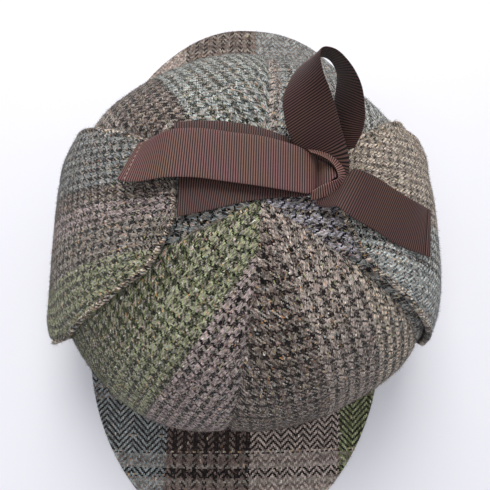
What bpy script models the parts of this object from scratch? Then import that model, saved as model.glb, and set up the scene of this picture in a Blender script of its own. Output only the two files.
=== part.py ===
"""A deerstalker hat standing on a table, its ear flaps turned up and tied with a bow.

Frame: metres, +Z up, the table at z = 0, the origin under the middle of the hat.
The near peak points to -Y, the far peak to +Y, and +X is the wearer's left.
"""
import math

import bpy
import numpy as np

for old in list(bpy.data.objects):
    bpy.data.objects.remove(old, do_unlink=True)

MM = 0.001

# ---------------------------------------------------------------- driving sizes (millimetres)
CLOTH = 2.2            # one layer of tweed with its seam allowance
PEAK_THICK = 3.0       # two layers of tweed over a stiff core
FLAP_THICK = 3.0       # two layers of tweed
FLAP_AIR = 0.7         # between a flap and the dome that it lies on
RIBBON_THICK = 0.7
GAP = 0.3              # air between neighbouring pieces

HEAD_X, HEAD_Y = 84.0, 99.0        # outside half-width and half-length of the head opening
RIM_Z = 14.5                       # height of the opening's edge, carried by the two peaks
BULGE_Z = 51.0                     # height where the crown is widest
TOP_Z = 133.4                      # height of the crown's top
DOME_POWER = 0.85                  # below 1 the dome is fuller than an ellipse
CROWN_X = -2.7                     # the crown's middle, sideways
LEAN = 10.6                        # how far the soft crown leans to +X at its top
SEAM_DIP = 0.9                     # how far a seam sinks below the gores beside it
SEAM_ROLL = 3.0                    # width of cloth that rolls into a seam

# radius of the soft crown at its widest, every 30 degrees of plan angle from +X
BULGE_RADII = {0: 101.5, 30: 104.5, 60: 104.0, 90: 107.5, 120: 104.8, 150: 106.6,
               180: 99.5, 210: 104.0, 240: 106.3, 270: 101.7, 300: 102.7, 330: 108.7}

# plan angles of the six seams, and the gore that starts at each
GORES = (
    # name              from   to
    ("gore_right",      329.0, 388.0),
    ("gore_back_right",  28.0,  86.0),
    ("gore_back_left",   86.0, 148.0),
    ("gore_left",       148.0, 207.0),
    ("gore_front_left", 207.0, 268.0),
    ("gore_front_right", 268.0, 329.0),
)

PEAK_HALF_WIDE = 93.5      # half-width of a peak
PEAK_MIDDLE_Y = 50.0       # distance from the hat's middle to the peak's widest line
PEAK_REACH = 121.5         # from that line to the tip
PEAK_ROOT_ANGLE = 58.5     # a peak is sewn to this many degrees of rim either side of its middle
PEAK_CORNER = 0.90         # share of the half outline where its sides round in to the rim
PEAK_CORNER_LEFT = 0.30    # depth that is left at the very end, as a share
PEAK_TIP_Z = 8.0           # height of the top of the edge at the tip
PEAK_SIDE_Z = 1.4          # the same at the sides, before the table flattens them
PEAKS = (
    # name         side  outline power
    ("front_peak", -1.0, 1.9),
    ("back_peak",   1.0, 2.1),
)

FLAPS = (
    # name            side  middle  half-angle  outside x  x per y  tip height
    ("left_ear_flap",  -1.0, 182.5, 32.5,      107.6,     -0.022,  0.812),
    ("right_ear_flap",  1.0,   4.0, 33.5,      107.4,      0.028,  0.830),
)
FLAP_LEAN = 0.38           # how far the flap's side leans in per millimetre of height
FLAP_CURVE = 40.0          # radius of its rounding, seen from the front
FLAP_ROOT_ANGLE = 27.5     # half-angle of the flap where it is sewn to the rim
FLAP_TIP_FROM = 0.68       # share of the dome's rise where the flap starts to round off
FLAP_TIP_HALF = 6.0        # half-width of its blunt end

TWEEDS = {"gore": (0.24, 0.22, 0.19), "peak": (0.20, 0.18, 0.16), "flap": (0.26, 0.24, 0.22)}
RIBBON_BROWN = (0.085, 0.045, 0.040)


# ---------------------------------------------------------------- the crown's surface
def bulge_radius(theta):
    """Radius of the crown at its widest, a smooth closed curve through BULGE_RADII."""
    values = np.array([BULGE_RADII[a] for a in sorted(BULGE_RADII)])
    count = len(values)
    at = (np.degrees(theta) % 360.0) / 360.0 * count
    i = np.floor(at).astype(int)
    t = at - i
    p0, p1, p2, p3 = (values[(i + k) % count] for k in (-1, 0, 1, 2))
    return p1 + 0.5 * t * (p2 - p0 + t * (2 * p0 - 5 * p1 + 4 * p2 - p3
                                          + t * (3 * (p1 - p2) + p3 - p0)))


def crown(theta, rise, inset=0.0):
    """A point of the crown. rise is -1 at the rim, 0 at the widest line and 1 at the top."""
    theta, rise = np.broadcast_arrays(np.asarray(theta, float), np.asarray(rise, float))
    c, s = np.cos(theta), np.sin(theta)
    wide = bulge_radius(theta) - inset
    rim = 1.0 / np.sqrt((c / (HEAD_X - inset)) ** 2 + (s / (HEAD_Y - inset)) ** 2)
    dome = np.clip(rise, 0.0, 1.0) * math.pi / 2
    low = np.clip(rise + 1.0, 0.0, 1.0)
    radius = np.where(rise < 0, rim + (wide - rim) * np.sin(low * math.pi / 2),
                      wide * np.cos(dome) ** DOME_POWER)
    z = np.where(rise < 0, RIM_Z + (BULGE_Z - RIM_Z) * low,
                 BULGE_Z + (TOP_Z - inset - BULGE_Z) * np.sin(dome))
    return np.stack([CROWN_X + radius * c + LEAN * (z / TOP_Z) ** 2, radius * s, z], axis=-1)


def crown_normal(theta, rise):
    step = 1e-3
    along = crown(theta + step, rise) - crown(theta - step, rise)
    up = crown(theta, rise + step) - crown(theta, rise - step)
    normal = np.cross(along, up)
    return normal / np.linalg.norm(normal, axis=-1, keepdims=True)


def smooth(t):
    t = np.clip(t, 0.0, 1.0)
    return t * t * (3 - 2 * t)


# ---------------------------------------------------------------- making meshes
def cloth_material(name, colour, roughness=0.95):
    material = bpy.data.materials.new(name)
    material.use_nodes = True
    shader = material.node_tree.nodes["Principled BSDF"]
    shader.inputs["Base Color"].default_value = (*colour, 1.0)
    shader.inputs["Roughness"].default_value = roughness
    shader.inputs["Metallic"].default_value = 0.0
    return material


def add_object(name, points, faces, colour, roughness=0.95):
    mesh = bpy.data.meshes.new(name)
    mesh.from_pydata([tuple(p * MM) for p in points], [], faces)
    mesh.update()
    mesh.shade_smooth()
    mesh.set_sharp_from_angle(angle=math.radians(40))
    item = bpy.data.objects.new(name, mesh)
    bpy.context.scene.collection.objects.link(item)
    mesh.materials.append(cloth_material(name + "_cloth", colour, roughness))
    return item


def grid_faces(rows, cols, start=0, flip=False):
    faces = []
    for i in range(rows - 1):
        for j in range(cols - 1):
            a = start + i * cols + j
            quad = (a, a + 1, a + cols + 1, a + cols)
            faces.append(quad[::-1] if flip else quad)
    return faces


def add_shell(name, outer, inner, colour):
    """A closed wall between two grids of points that run (row, column)."""
    rows, cols = outer.shape[:2]
    count = rows * cols
    faces = grid_faces(rows, cols) + grid_faces(rows, cols, count, flip=True)
    edge = [j for j in range(cols)]
    edge += [i * cols + cols - 1 for i in range(1, rows)]
    edge += [(rows - 1) * cols + j for j in range(cols - 2, -1, -1)]
    edge += [i * cols for i in range(rows - 2, 0, -1)]
    for a, b in zip(edge, edge[1:] + edge[:1]):
        faces.append((b, a, a + count, b + count))
    points = np.vstack([outer.reshape(-1, 3), inner.reshape(-1, 3)])
    return add_object(name, points, faces, colour)


def sheet_normals(grid):
    along = np.gradient(grid, axis=1)
    up = np.gradient(grid, axis=0)
    normal = np.cross(along, up)
    return normal / np.linalg.norm(normal, axis=-1, keepdims=True)


def add_sheet(name, middle, thickness, colour):
    """A cloth wall of one thickness round a grid of middle points."""
    half = sheet_normals(middle) * thickness / 2
    return add_shell(name, middle + half, middle - half, colour)


# ---------------------------------------------------------------- gores
def make_gore(name, start, end):
    """One of the six crown panels: full in its middle, rolled down along its two seams."""
    rises = np.concatenate([np.linspace(-1.0, 0.0, 5), np.linspace(0.0, 0.925, 11)[1:],
                            [0.962, 0.986, 0.996]])
    across = np.concatenate([[0.0, 0.0], np.linspace(0.0, 1.0, 10)[1:-1], [1.0, 1.0]])
    outer, inner = [], []
    for rise in rises:
        a, b = math.radians(start), math.radians(end)
        reach = float(np.linalg.norm((crown((a + b) / 2, rise) - crown(0.0, 1.0))[:2])) + 0.3
        reach = reach if rise > 0 else float(bulge_radius((a + b) / 2))
        margin = GAP / 2 / reach
        roll = min(SEAM_ROLL / reach, (b - a) * 0.2)
        theta = a + margin + (b - a - 2 * margin) * across
        theta[1] += roll
        theta[-2] -= roll
        dip = np.zeros(len(theta))
        dip[[0, -1]] = SEAM_DIP
        outer.append(crown(theta, rise, 0.0) * 1.0)
        deep = crown(theta, rise, dip[:, None][:, 0])
        outer[-1][[0, -1]] = deep[[0, -1]]
        inner.append(crown(theta, rise, CLOTH))
    return add_shell(name, np.array(outer), np.array(inner), TWEEDS["gore"])


# ---------------------------------------------------------------- peaks
def make_peak(name, side, power):
    """A stiff crescent sewn under the rim, arched, its sides resting on the table."""
    half = np.concatenate([np.linspace(0.0, PEAK_CORNER, 11), [0.935, 0.965, 0.985, 1.0]])
    stations = np.concatenate([-half[:0:-1], half])
    steps = np.array([0.0, 0.2, 0.4, 0.6, 0.78, 0.9, 1.0])
    top = []
    for v in steps:
        row = []
        for u in stations:
            angle = math.radians(side * 90.0 - side * u * PEAK_ROOT_ANGLE)
            root = crown(angle, -1.0, CLOTH * 0.9)
            root[2] = RIM_Z - GAP
            turn = math.radians(u * 90.0)
            x = math.copysign(abs(math.sin(turn)) ** (2 / power), u)
            y = abs(math.cos(turn)) ** (2 / power)
            edge_z = PEAK_SIDE_Z + (PEAK_TIP_Z - PEAK_SIDE_Z) * math.cos(min(abs(turn) * 1.7,
                                                                             math.pi / 2)) ** 2
            edge = np.array([CROWN_X + PEAK_HALF_WIDE * x,
                             side * (PEAK_MIDDLE_Y + PEAK_REACH * y), edge_z])
            end = max(abs(u) - PEAK_CORNER, 0.0) / (1.0 - PEAK_CORNER)
            depth = PEAK_CORNER_LEFT + (1 - PEAK_CORNER_LEFT) * math.sqrt(1 - end * end)
            row.append(root + (edge - root) * v * depth)
        top.append(row)
    top = np.array(top)
    bottom = top - np.array([0.0, 0.0, PEAK_THICK])
    bottom[..., 2] = np.maximum(bottom[..., 2], 0.0)     # the stiff cloth lies flat on the table
    top[..., 2] = bottom[..., 2] + PEAK_THICK
    if side < 0:
        top, bottom = top[:, ::-1], bottom[:, ::-1]
    return add_shell(name, top, bottom, TWEEDS["peak"])


# ---------------------------------------------------------------- ear flaps
def flap_half_angle(rise, half, tip_rise):
    """Half the plan angle that the flap covers at a height: narrow at the rim, round at the tip."""
    low = FLAP_ROOT_ANGLE + (half - FLAP_ROOT_ANGLE) * smooth((rise + 1.0) / 0.5)
    if rise <= FLAP_TIP_FROM:
        return math.radians(low)
    reach = math.cos(rise * math.pi / 2) ** DOME_POWER
    first = math.cos(FLAP_TIP_FROM * math.pi / 2) ** DOME_POWER
    last = math.cos(tip_rise * math.pi / 2) ** DOME_POWER
    half_wide = 103.0 * first * math.sin(math.radians(half))
    t = (first - reach) / (first - last)
    wide = FLAP_TIP_HALF + (half_wide - FLAP_TIP_HALF) * (1 - t ** 1.15) ** 0.75
    return math.asin(min(wide / (103.0 * reach), 0.95))


def make_flap(name, side, middle, half, outside, per_y, tip_rise):
    """A flap turned up at the rim: it stands off the crown's side, then lies on the dome."""
    rises = np.concatenate([[-1.0, -0.9, -0.75, -0.6, -0.42, -0.2], np.linspace(0.0, 0.62, 8),
                            [0.68, 0.72, 0.76, tip_rise - 0.02, tip_rise]])
    across = np.linspace(-1.0, 1.0, 15)
    grid = []
    for rise in rises:
        theta = math.radians(middle) + across * flap_half_angle(rise, half, tip_rise)
        point = crown(theta, rise) + crown_normal(theta, rise) * (FLAP_AIR + FLAP_THICK / 2)
        high = point[:, 2] - BULGE_Z
        wall = (outside + side * per_y * point[:, 1] - FLAP_THICK / 2
                - FLAP_LEAN * high - high ** 2 / (2 * FLAP_CURVE))
        air = wall - side * point[:, 0]
        stand_off = (air + np.sqrt(air ** 2 + 16.0)) / 2
        point[:, 0] += side * stand_off * smooth((rise + 1.0) / 0.55)
        grid.append(point)
    return add_sheet(name, np.array(grid), FLAP_THICK, TWEEDS["flap"])


# ---------------------------------------------------------------- ribbons
# Each row is one place along a ribbon: its middle, the way its width points, and its width there.
LEFT_TAIL = (
    #   x      y      z      wx     wy     wz    width
    (26.9,   9.5, 138.3,  0.00, 1.00,  0.00, 18.0),
    (22.0,  11.5, 138.9,  0.00, 1.00,  0.03, 20.0),
    ( 8.0,  14.5, 138.8,  0.00, 1.00,  0.00, 22.0),
    (-5.0,  16.0, 138.7,  0.00, 1.00,  0.00, 22.0),
    (-19.0, 17.5, 138.6,  0.02, 1.00,  0.00, 22.0),
    (-30.5, 17.8, 138.3,  0.05, 1.00, -0.05, 22.0),
    (-37.0, 17.8, 136.3,  0.08, 1.00, -0.08, 22.0),
    (-43.5, 17.8, 132.7,  0.14, 1.00, -0.13, 22.0),
    (-50.5, 17.8, 128.4,  0.24, 1.00, -0.20, 22.0),
)
RIGHT_TAIL = (
    (42.0,   4.1, 139.3,  0.42, 0.88,  0.00, 17.0),
    (46.5,   2.4, 138.6,  0.42, 0.88, -0.08, 20.5),
    (52.0,   0.5, 136.0,  0.40, 0.90, -0.12, 22.0),
    (58.0,  -1.5, 132.6,  0.40, 0.90, -0.15, 22.0),
    (65.0,  -4.0, 128.4,  0.40, 0.90, -0.10, 22.0),
    (73.0,  -6.0, 123.2,  0.33, 0.94, -0.05, 22.0),
    (84.0,  -7.5, 115.9,  0.06, 1.00, -0.05, 22.0),
)
LEFT_TIE = (
    (26.8,   9.0, 134.6,  0.00, 1.00,  0.00, 15.0),
    (15.0,   9.0, 134.5,  0.03, 1.00,  0.00, 17.0),
    ( 2.0,   7.8, 134.4,  0.08, 1.00,  0.00, 19.0),
    (-12.0,  4.8, 134.0,  0.10, 1.00,  0.00, 21.0),
    (-27.2,  2.0, 133.2, -0.03, 1.00,  0.00, 22.0),
)
BACK_LOOP = (
    (26.8,  13.5, 135.8,  0.00, 1.00,  0.00, 15.0),
    (14.0,  18.0, 135.8,  0.00, 1.00,  0.00, 20.0),
    (-1.0,  21.0, 135.8,  0.05, 1.00, -0.02, 22.0),
    (-15.0, 22.0, 135.9,  0.00, 1.00, -0.03, 22.0),
    (-28.0, 20.8, 135.9, -0.05, 1.00, -0.03, 22.0),
    (-29.3, 20.8, 136.5, -0.05, 1.00, -0.03, 22.0),
    (-28.0, 20.8, 137.1, -0.05, 1.00, -0.03, 22.0),
    (-15.0, 22.0, 137.1,  0.00, 1.00, -0.03, 22.0),
    (-1.0,  21.0, 137.0,  0.05, 1.00, -0.02, 22.0),
    (14.0,  18.0, 137.0,  0.00, 1.00,  0.00, 20.0),
    (26.8,  13.5, 137.0,  0.00, 1.00,  0.00, 15.0),
)
BOW_LOOP = (
    (34.5,  20.3, 142.0,  0.82,  0.04, 0.42, 16.0),
    (28.5,  26.5, 147.0,  0.86,  0.02, 0.45, 20.5),
    (23.8,  35.5, 152.5,  0.80, -0.10, 0.58, 22.0),
    (22.8,  42.4, 156.0,  0.54, -0.27, 0.80, 22.0),
    (24.2,  48.6, 158.5,  0.24, -0.36, 0.90, 22.0),
    (28.4,  51.9, 159.6, -0.03, -0.41, 0.91, 22.0),
    (33.4,  50.9, 159.2, -0.02, -0.41, 0.91, 22.0),
    (37.8,  46.4, 157.0,  0.10, -0.43, 0.90, 22.0),
    (40.2,  41.4, 153.5,  0.28, -0.48, 0.83, 22.0),
    (41.1,  35.5, 148.8,  0.42, -0.50, 0.74, 21.5),
    (40.6,  28.0, 143.8,  0.58, -0.34, 0.70, 19.0),
    (38.3,  20.8, 138.8,  0.78, -0.10, 0.50, 15.0),
)
RIBBONS = (
    # name         rows        places along
    ("left_tail",  LEFT_TAIL,  24),
    ("right_tail", RIGHT_TAIL, 22),
    ("left_tie",   LEFT_TIE,   16),
    ("back_loop",  BACK_LOOP,  51),
    ("bow_loop",   BOW_LOOP,   45),
)

KNOT_MIDDLE = (34.8, 11.0, 139.3)
KNOT_HALF = (7.6, 8.9, 5.0)
KNOT_TURN = 12.0           # degrees, seen from above


def smooth_rows(rows, count):
    """A smooth curve through the rows of a table (Catmull-Rom)."""
    rows = np.asarray(rows, float)
    padded = np.vstack([2 * rows[0] - rows[1], rows, 2 * rows[-1] - rows[-2]])
    out = []
    for t in np.linspace(0, len(rows) - 1, count):
        i = min(int(t), len(rows) - 2)
        s = t - i
        p0, p1, p2, p3 = padded[i:i + 4]
        out.append(p1 + 0.5 * s * (p2 - p0 + s * (2 * p0 - 5 * p1 + 4 * p2 - p3
                                                  + s * (3 * (p1 - p2) + p3 - p0))))
    return np.array(out)


def make_ribbon(name, rows, count):
    line = smooth_rows(rows, count)
    middle, wide = line[:, :3], line[:, 3:6]
    wide = wide / np.linalg.norm(wide, axis=1, keepdims=True) * line[:, 6:7]
    grid = np.stack([middle - wide / 2, middle, middle + wide / 2], axis=1)
    return add_sheet(name, grid, RIBBON_THICK, RIBBON_BROWN)


def make_knot():
    """The band drawn tight round the crossing: a small rounded pad."""
    bpy.ops.mesh.primitive_uv_sphere_add(segments=16, ring_count=10, radius=1.0)
    knot = bpy.context.object
    knot.name = "bow_knot"
    knot.data.name = "bow_knot"
    turn = math.radians(KNOT_TURN)
    for vertex in knot.data.vertices:
        square = [math.copysign(abs(c) ** 0.8, c) * h for c, h in zip(vertex.co, KNOT_HALF)]
        x = square[0] * math.cos(turn) - square[1] * math.sin(turn)
        y = square[0] * math.sin(turn) + square[1] * math.cos(turn)
        vertex.co = (x * MM, y * MM, square[2] * MM)
    knot.location = [c * MM for c in KNOT_MIDDLE]
    knot.data.shade_smooth()
    knot.data.materials.append(cloth_material("bow_knot_cloth", RIBBON_BROWN, 0.7))
    return knot


# ---------------------------------------------------------------- the hat
for gore in GORES:
    make_gore(*gore)
for peak in PEAKS:
    make_peak(*peak)
for flap in FLAPS:
    make_flap(*flap)
for ribbon in RIBBONS:
    make_ribbon(*ribbon)
make_knot()
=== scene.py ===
# %% [markdown]
# # A tweed deerstalker, from its cut pieces to its nap
#
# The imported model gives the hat's real size. This script keeps its shapes and gives each
# piece the finish of the real thing: woven wool, rolled seams, grosgrain ribs. Lengths are
# in millimetres until a mesh is made.

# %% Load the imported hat
import math

import bpy
import numpy as np
from mathutils import Matrix, Vector


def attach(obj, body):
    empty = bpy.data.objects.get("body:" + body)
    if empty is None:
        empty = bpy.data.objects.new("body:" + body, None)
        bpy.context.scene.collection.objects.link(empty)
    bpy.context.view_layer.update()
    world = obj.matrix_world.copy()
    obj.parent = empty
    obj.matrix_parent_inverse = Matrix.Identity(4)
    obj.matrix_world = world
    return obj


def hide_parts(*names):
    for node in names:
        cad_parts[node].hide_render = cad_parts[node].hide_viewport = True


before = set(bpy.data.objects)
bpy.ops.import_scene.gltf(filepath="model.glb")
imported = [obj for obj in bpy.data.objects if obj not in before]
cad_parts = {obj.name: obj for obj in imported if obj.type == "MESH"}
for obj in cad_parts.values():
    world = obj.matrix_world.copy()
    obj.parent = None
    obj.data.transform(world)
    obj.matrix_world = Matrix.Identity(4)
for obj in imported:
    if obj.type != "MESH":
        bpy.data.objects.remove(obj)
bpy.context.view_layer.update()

MM = 0.001
print("packed nodes:", len(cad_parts))


# %% [markdown]
# ## The crown's form
#
# A deerstalker's crown is sewn from six curved panels, called gores. It is fuller than a
# half ball, and the wool leans where the hand left it. A radius for each direction says this,
# with a rise from the rim (-1) through the widest line (0) to the top (1).

# %% The crown's formulas
CLOTH = 2.2  # one layer of tweed
HEAD_X, HEAD_Y = 84.0, 99.0  # half-width and half-length of the rim, outside
RIM_Z = 14.5
BULGE_Z = 51.0  # height of the widest line
TOP_Z = 133.4
DOME_POWER = 0.85  # below 1 the dome is fuller than an ellipse
CROWN_X = -2.7  # the crown's middle, sideways
LEAN = 10.6  # how far the top leans to +X
# radius at the widest line, every 30 degrees round from +X
BULGE_RADII = (101.5, 104.5, 104.0, 107.5, 104.8, 106.6, 99.5, 104.0, 106.3, 101.7, 102.7, 108.7)


def curve_through(p0, p1, p2, p3, t):
    """A smooth curve from p1 to p2 that the points before and after lead (Catmull-Rom)."""
    return p1 + 0.5 * t * (p2 - p0 + t * (2 * p0 - 5 * p1 + 4 * p2 - p3
                                          + t * (3 * (p1 - p2) + p3 - p0)))


def bulge_radius(theta):
    """Radius of the crown at its widest: a smooth closed curve through BULGE_RADII."""
    values = np.array(BULGE_RADII)
    at = (np.degrees(theta) % 360.0) / 360.0 * len(values)
    i = np.floor(at).astype(int)
    return curve_through(*(values[(i + k) % len(values)] for k in (-1, 0, 1, 2)), at - i)


def crown(theta, rise, inset=0.0):
    """A point of the crown, inset millimetres inside its outer face."""
    theta, rise = np.broadcast_arrays(np.asarray(theta, float), np.asarray(rise, float))
    c, s = np.cos(theta), np.sin(theta)
    wide = bulge_radius(theta) - inset
    rim = 1.0 / np.sqrt((c / (HEAD_X - inset)) ** 2 + (s / (HEAD_Y - inset)) ** 2)
    dome = np.clip(rise, 0.0, 1.0) * math.pi / 2
    low = np.clip(rise + 1.0, 0.0, 1.0)
    radius = np.where(rise < 0, rim + (wide - rim) * np.sin(low * math.pi / 2),
                      wide * np.cos(dome) ** DOME_POWER)
    z = np.where(rise < 0, RIM_Z + (BULGE_Z - RIM_Z) * low,
                 BULGE_Z + (TOP_Z - inset - BULGE_Z) * np.sin(dome))
    return np.stack([CROWN_X + radius * c + LEAN * (z / TOP_Z) ** 2, radius * s, z], axis=-1)


def unit(v):
    """Vectors of length 1."""
    return v / np.linalg.norm(v, axis=-1, keepdims=True)


def crown_normal(theta, rise):
    """The way out of the crown at a point."""
    along = crown(theta + 1e-3, rise) - crown(theta - 1e-3, rise)
    up = crown(theta, rise + 1e-3) - crown(theta, rise - 1e-3)
    return unit(np.cross(along, up))


def smooth(t):
    """0 to 1 with a soft start and end."""
    t = np.clip(t, 0.0, 1.0)
    return t * t * (3 - 2 * t)


print("crown top, mm:", np.round(crown(0.0, 1.0), 1))


# %% [markdown]
# ## From rows of points to a cloth wall
#
# Cloth has a thickness, and a folded edge is round. Each piece is made from one grid of
# middle points: its two faces stand half a thickness to each side, and close together just
# before an edge. Each point keeps its place on the flat cloth, and the weave follows that.

# %% Cloth from a grid of points
def lengths_along(points, axis):
    """How far each point lies along its row or column."""
    step = np.linalg.norm(np.diff(points, axis=axis), axis=-1)
    start = np.zeros_like(np.take(step, [0], axis=axis))
    return np.concatenate([start, np.cumsum(step, axis=axis)], axis=axis)


def grid_normals(grid):
    """The way out of a grid of points."""
    return unit(np.cross(np.gradient(grid, axis=1), np.gradient(grid, axis=0)))


def cell_areas(grid):
    """Area of each cell of a grid of points, in mm2."""
    a, b = grid[1:, 1:] - grid[:-1, :-1], grid[1:, :-1] - grid[:-1, 1:]
    return np.linalg.norm(np.cross(a, b), axis=-1) / 2


def edge_round(shape, distance, radius):
    """1 in a sheet's middle, falling to 0 at its edge as a circle does."""
    t = np.clip(distance / radius, 0.0, 1.0)
    return np.broadcast_to(np.sqrt(1 - (1 - t) ** 2), shape)


def quad_mesh(name, points, quads, chart, places):
    """A mesh from points in mm and quads, with each point's place on a flat chart."""
    mesh = bpy.data.meshes.new(name)
    mesh.vertices.add(len(points))
    mesh.vertices.foreach_set("co", (points * MM).ravel())
    mesh.loops.add(quads.size)
    mesh.loops.foreach_set("vertex_index", quads.ravel().astype(np.int32))
    mesh.polygons.add(len(quads))
    mesh.polygons.foreach_set("loop_start", np.arange(0, quads.size, 4, dtype=np.int32))
    layer = mesh.uv_layers.new(name=chart)
    layer.data.foreach_set("uv", places[quads.ravel()].ravel())
    mesh.update(calc_edges=True)
    return mesh


def put(name, data):
    """Links a mesh, lamp or camera into the scene."""
    item = bpy.data.objects.new(name, data)
    bpy.context.scene.collection.objects.link(item)
    return item


def add_piece(name, mesh, material):
    """Puts a mesh in the scene as a piece of the hat."""
    mesh.shade_smooth()
    mesh.materials.append(material)
    piece = put(name, mesh)
    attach(piece, "root")
    return piece


def add_wall(name, outer, inner, cloth_x, cloth_y, material, second=None, rolled=None):
    """A closed wall between two grids. cloth_x and cloth_y are places on the flat cloth. The
    second material lines it; with rolled, it covers that part of the face and the rim too."""
    count = cloth_x.size
    at = np.arange(count).reshape(cloth_x.shape)
    quads = np.stack([at[:-1, :-1], at[:-1, 1:], at[1:, 1:], at[1:, :-1]], -1).reshape(-1, 4)
    rim = np.concatenate([at[0], at[1:, -1], at[-1, -2::-1], at[-2:0:-1, 0]])
    after = np.roll(rim, -1)
    sides = np.stack([after, rim, rim + count, after + count], -1)
    faces = np.vstack([quads, quads[:, ::-1] + count, sides])
    points = np.vstack([outer.reshape(-1, 3), inner.reshape(-1, 3)])
    flat = np.stack([np.tile(cloth_x.ravel(), 2), np.tile(cloth_y.ravel(), 2)], -1)
    piece = add_piece(name, quad_mesh(name, points, faces, "Cloth", flat), material)
    if second:
        piece.data.materials.append(second)
        which = np.zeros(len(faces), dtype=np.int32)
        which[len(quads):2 * len(quads)] = 1
        if rolled is not None:
            which[:len(quads)] = rolled.ravel()
            which[2 * len(quads):] = 1
        piece.data.polygons.foreach_set("material_index", which)
    return piece


# %% [markdown]
# ## Yarn colours
#
# A country tweed looks brown or grey from afar, and close to it is many colours: each yarn
# is spun from fleece dyed before spinning, so flecks of other colours lie along it.

# %% Yarn colours
def paint(*seen):
    """A colour from 0 to 255 as the eye sees it, turned into the light it reflects."""
    return (*(((v / 255 + 0.055) / 1.055) ** 2.4 for v in seen), 1.0)


YARN = {
    "soot": paint(15, 12, 12),
    "peat": paint(36, 28, 27),
    "bark": paint(104, 90, 84),
    "taupe": paint(160, 146, 138),
    "oatmeal": paint(190, 176, 159),
    "heather": paint(161, 144, 143),
    "slate": paint(126, 131, 131),
    "cloud": paint(154, 161, 159),
    "mist": paint(178, 184, 182),
    "lilac": paint(162, 158, 168),
    "moss": paint(94, 101, 66),
    "lichen": paint(138, 144, 109),
    "pine": paint(48, 52, 38),
    "ash": paint(130, 122, 114),
}
FLECKS = [paint(192, 136, 82), paint(196, 174, 124), paint(204, 196, 186), paint(184, 146, 142),
          paint(146, 162, 168), paint(214, 210, 204), paint(150, 158, 108), paint(124, 98, 82)]
print("yarn colours:", len(YARN), "and flecks:", len(FLECKS))


# %% [markdown]
# ## Nodes, in the order in which a mill works
#
# Blender wires a material from small nodes. These helpers keep that short: a node with its
# inputs, a step of arithmetic, a mix of two colours, a row of coloured bands.

# %% Node helpers
def new_material(name, finish):
    """A material, its nodes, and its main shader with its own numbers set."""
    material = bpy.data.materials.new(name)
    material.use_nodes = True
    shader = material.node_tree.nodes["Principled BSDF"]
    for socket, value in finish.items():
        shader.inputs[socket].default_value = value
    return material, material.node_tree, shader


def wire(tree, socket, value):
    """Joins a node's socket to another's output, or sets it to a number."""
    if isinstance(value, bpy.types.NodeSocket):
        tree.links.new(value, socket)
    else:
        socket.default_value = value


def add_node(tree, kind, inputs=None, **settings):
    """A node of one kind, with what goes into each of its inputs."""
    node = tree.nodes.new("ShaderNode" + kind)
    for setting, value in settings.items():
        setattr(node, setting, value)
    for socket, value in (inputs or {}).items():
        wire(tree, node.inputs[socket], value)
    return node


def calc(tree, operation, *values):
    """One step of arithmetic."""
    return add_node(tree, "Math", dict(enumerate(values)), operation=operation).outputs[0]


def blend(tree, share, first, second, mode="MIX"):
    """Mixes two colours."""
    return add_node(tree, "Mix", {0: share, 6: first, 7: second}, data_type="RGBA",
                    blend_type=mode).outputs[2]


def choose(tree, share, first, second):
    """The first number where share is 0, the second where it is 1."""
    return add_node(tree, "Mix", {0: share, 2: first, 3: second}).outputs[0]


def clamp(tree, value, most=1.0):
    """A number kept from 0 to a limit."""
    return calc(tree, "MINIMUM", calc(tree, "MAXIMUM", value, 0.0), most)


def paint_shader(tree, shader, colour, tone):
    """Gives a shader a colour times a tone."""
    wire(tree, shader.inputs["Base Color"], blend(tree, 1.0, colour, tone, "MULTIPLY"))


def bands(tree, value, stops):
    """Colours that change at given places from 0 to 1."""
    node = add_node(tree, "ValToRGB", {0: value})
    node.color_ramp.interpolation = "CONSTANT"
    ramp = node.color_ramp.elements
    while len(ramp) < len(stops):
        ramp.new(1.0)
    for element, (place, _) in zip(ramp, stops):
        element.position = place
    for element, (_, colour) in zip(ramp, stops):
        element.color = colour
    return node.outputs[0]


def dice(tree, first, second, salt):
    """A random value and colour for each pair of whole numbers."""
    pair = add_node(tree, "CombineXYZ", {0: first, 1: second, 2: salt})
    node = add_node(tree, "TexWhiteNoise", {"Vector": pair.outputs[0]}, noise_dimensions="3D")
    return node.outputs["Value"], node.outputs["Color"]


def noise(tree, place, scale, detail=2.0, flat=False):
    """Soft random blotches of a given scale, on a plane or in space."""
    return add_node(tree, "TexNoise", {"Vector": place, "Scale": scale, "Detail": detail},
                    noise_dimensions="2D" if flat else "3D")


def on_cloth(tree):
    """Each point's place on the flat cloth, in mm."""
    return add_node(tree, "UVMap", uv_map="Cloth").outputs[0]


def relief(tree, shader, height, strength, distance):
    """Fine relief, for the light alone."""
    node = add_node(tree, "Bump", {"Height": height, "Strength": strength, "Distance": distance})
    tree.links.new(node.outputs[0], shader.inputs["Normal"])


# %% [markdown]
# ## Weaving the tweed
#
# In a two-and-two twill each yarn passes over two and under two, one step further on each
# row, which draws a diagonal. Turned back every few yarns it makes herringbone. Stripes of
# colour run along the warp and darker picks cross them, worked out here yarn by yarn.

# %% Where each yarn lies
WARP_SHARE = 0.45  # of four yarns, nearly two show the warp


def wavy_cloth(tree, coarse, fine):
    """The place on the cloth, still and with the waver of woollen yarn in it."""
    still = on_cloth(tree)
    place = still
    for scale, reach in ((0.35, coarse), (1.7, fine)):
        waver = noise(tree, still, scale, 1.0, flat=True).outputs["Color"]
        place = add_node(tree, "VectorMath", {0: waver, 1: (reach, reach, 0.0), 2: place},
                         operation="MULTIPLY_ADD").outputs[0]
    return still, place


def turned(tree, place, degrees):
    """A place on the cloth, turned about its origin."""
    return add_node(tree, "VectorRotate", {"Vector": place, "Angle": math.radians(degrees)},
                    rotation_type="Z_AXIS").outputs[0]


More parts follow.
